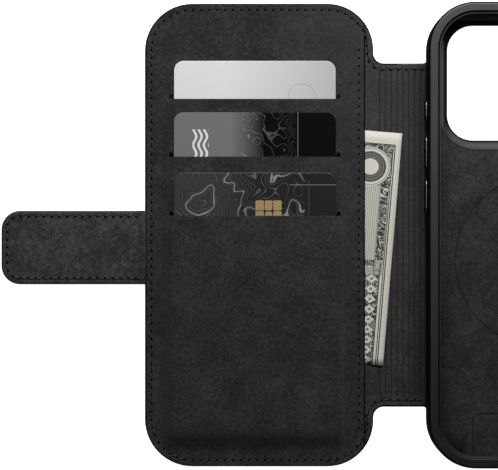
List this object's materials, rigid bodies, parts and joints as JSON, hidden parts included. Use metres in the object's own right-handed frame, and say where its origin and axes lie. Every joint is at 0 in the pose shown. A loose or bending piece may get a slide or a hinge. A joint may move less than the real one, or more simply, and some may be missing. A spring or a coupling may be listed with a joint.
{
  "type": "phone wallet case",
  "caption": "Leather folio wallet for a phone: a bumper shell, a ribbed spine, a cover with card slits and a cash pocket, and a magnetic strap that folds round the closed edge.",
  "frame": {"origin": "centre of the shell's back leather, on its outer face", "axes": "+Z from the back leather towards the phone's screen, +Y towards the camera opening; the spine, the open cover and the strap lie along -X"},
  "size_m": [0.2197, 0.1548, 0.0124],
  "materials": {
    "outer_leather": "fine-grained smooth dyed leather, satin, raw edges painted",
    "microfibre": "short-nap microfibre suede, matt with soft mottling",
    "strap_suede": "pebbled microfibre suede, matt",
    "ribbed_lining": "microfibre pressed into fine lengthwise ribs",
    "bumper_elastomer": "matt moulded elastomer with a soft sheen",
    "tray_plastic": "moulded stiff plastic",
    "bezel_plastic": "satin dark grey",
    "button_metal": "anodised, fine-blasted, satin",
    "nickel_plate": "nickel-plated sintered magnet, satin",
    "stiffener_board": "dense grey-brown board",
    "sewing_thread": "twisted bonded thread, slightly waxy",
    "silver_card": "satin silver laminate",
    "grey_card": "grey fading to black, laminated",
    "black_card": "charcoal laminate with thin light line work",
    "contact_gold": "gold-plated contacts, satin",
    "note_paper": "cream cotton paper with dark line engraving"
  },
  "bodies": {
    "shell": {"bumper_frame": "bumper_elastomer", "back_tray": "tray_plastic", "tray_lining": "microfibre", "back_leather": "outer_leather", "camera_bezel": "bezel_plastic", "magnet_ring": "nickel_plate", "alignment_magnet": "nickel_plate", "strap_catch_magnet": "nickel_plate"},
    "action_key": {"action_button": "button_metal"},
    "volume_up_key": {"volume_up_button": "button_metal"},
    "volume_down_key": {"volume_down_button": "button_metal"},
    "side_key": {"side_button": "button_metal"},
    "camera_key": {"camera_control_button": "button_metal"},
    "spine": {"spine_leather": "outer_leather", "spine_lining": "ribbed_lining", "spine_thread_upper": "sewing_thread", "spine_thread_lower": "sewing_thread", "banknote_end": "note_paper"},
    "cover": {"cover_leather": "outer_leather", "cover_board": "stiffener_board", "cover_lining": "microfibre", "pocket_backing": "microfibre", "card_panel": "microfibre", "cover_thread": "sewing_thread", "panel_thread": "sewing_thread", "strap_tail": "outer_leather", "banknote": "note_paper"},
    "first_card": {"card_one": "silver_card"},
    "second_card": {"card_two": "grey_card"},
    "third_card": {"card_three": "black_card", "card_chip": "contact_gold"},
    "strap_root": {"strap_root_leather": "outer_leather", "strap_root_lining": "strap_suede", "strap_root_thread_upper": "sewing_thread", "strap_root_thread_lower": "sewing_thread"},
    "strap_tip": {"strap_tip_leather": "outer_leather", "strap_tip_lining": "strap_suede", "strap_tip_thread": "sewing_thread", "strap_magnet": "nickel_plate"}
  },
  "joints": [
    {"name": "spine_fold", "type": "hinge", "parent": "shell", "child": "spine", "pos_m": [-0.0399, 0, 0.0015], "axis": [0, 1, 0], "range_deg": [-90, 90]},
    {"name": "cover_fold", "type": "hinge", "parent": "spine", "child": "cover", "pos_m": [-0.056, 0, 0.0015], "axis": [0, 1, 0], "range_deg": [-90, 90]},
    {"name": "strap_root_fold", "type": "hinge", "parent": "cover", "child": "strap_root", "pos_m": [-0.13465, 0, 0.00125], "axis": [0, 1, 0], "range_deg": [-60, 90]},
    {"name": "strap_tip_fold", "type": "hinge", "parent": "strap_root", "child": "strap_tip", "pos_m": [-0.15285, 0, 0.00125], "axis": [0, 1, 0], "range_deg": [-45, 90]},
    {"name": "first_card_draw", "type": "slide", "parent": "cover", "child": "first_card", "axis": [0, 1, 0], "range_m": [0, 0.072]},
    {"name": "second_card_draw", "type": "slide", "parent": "cover", "child": "second_card", "axis": [0, 1, 0], "range_m": [0, 0.066]},
    {"name": "third_card_draw", "type": "slide", "parent": "cover", "child": "third_card", "axis": [0, 1, 0], "range_m": [0, 0.07]},
    {"name": "action_press", "type": "slide", "parent": "shell", "child": "action_key", "axis": [1, 0, 0], "range_m": [0, 0.00045], "stiffness_N_per_m": 2500},
    {"name": "volume_up_press", "type": "slide", "parent": "shell", "child": "volume_up_key", "axis": [1, 0, 0], "range_m": [0, 0.00045], "stiffness_N_per_m": 2500},
    {"name": "volume_down_press", "type": "slide", "parent": "shell", "child": "volume_down_key", "axis": [1, 0, 0], "range_m": [0, 0.00045], "stiffness_N_per_m": 2500},
    {"name": "side_press", "type": "slide", "parent": "shell", "child": "side_key", "axis": [-1, 0, 0], "range_m": [0, 0.00045], "stiffness_N_per_m": 2500},
    {"name": "camera_press", "type": "slide", "parent": "shell", "child": "camera_key", "axis": [-1, 0, 0], "range_m": [0, 0.00045], "stiffness_N_per_m": 2500}
  ]
}
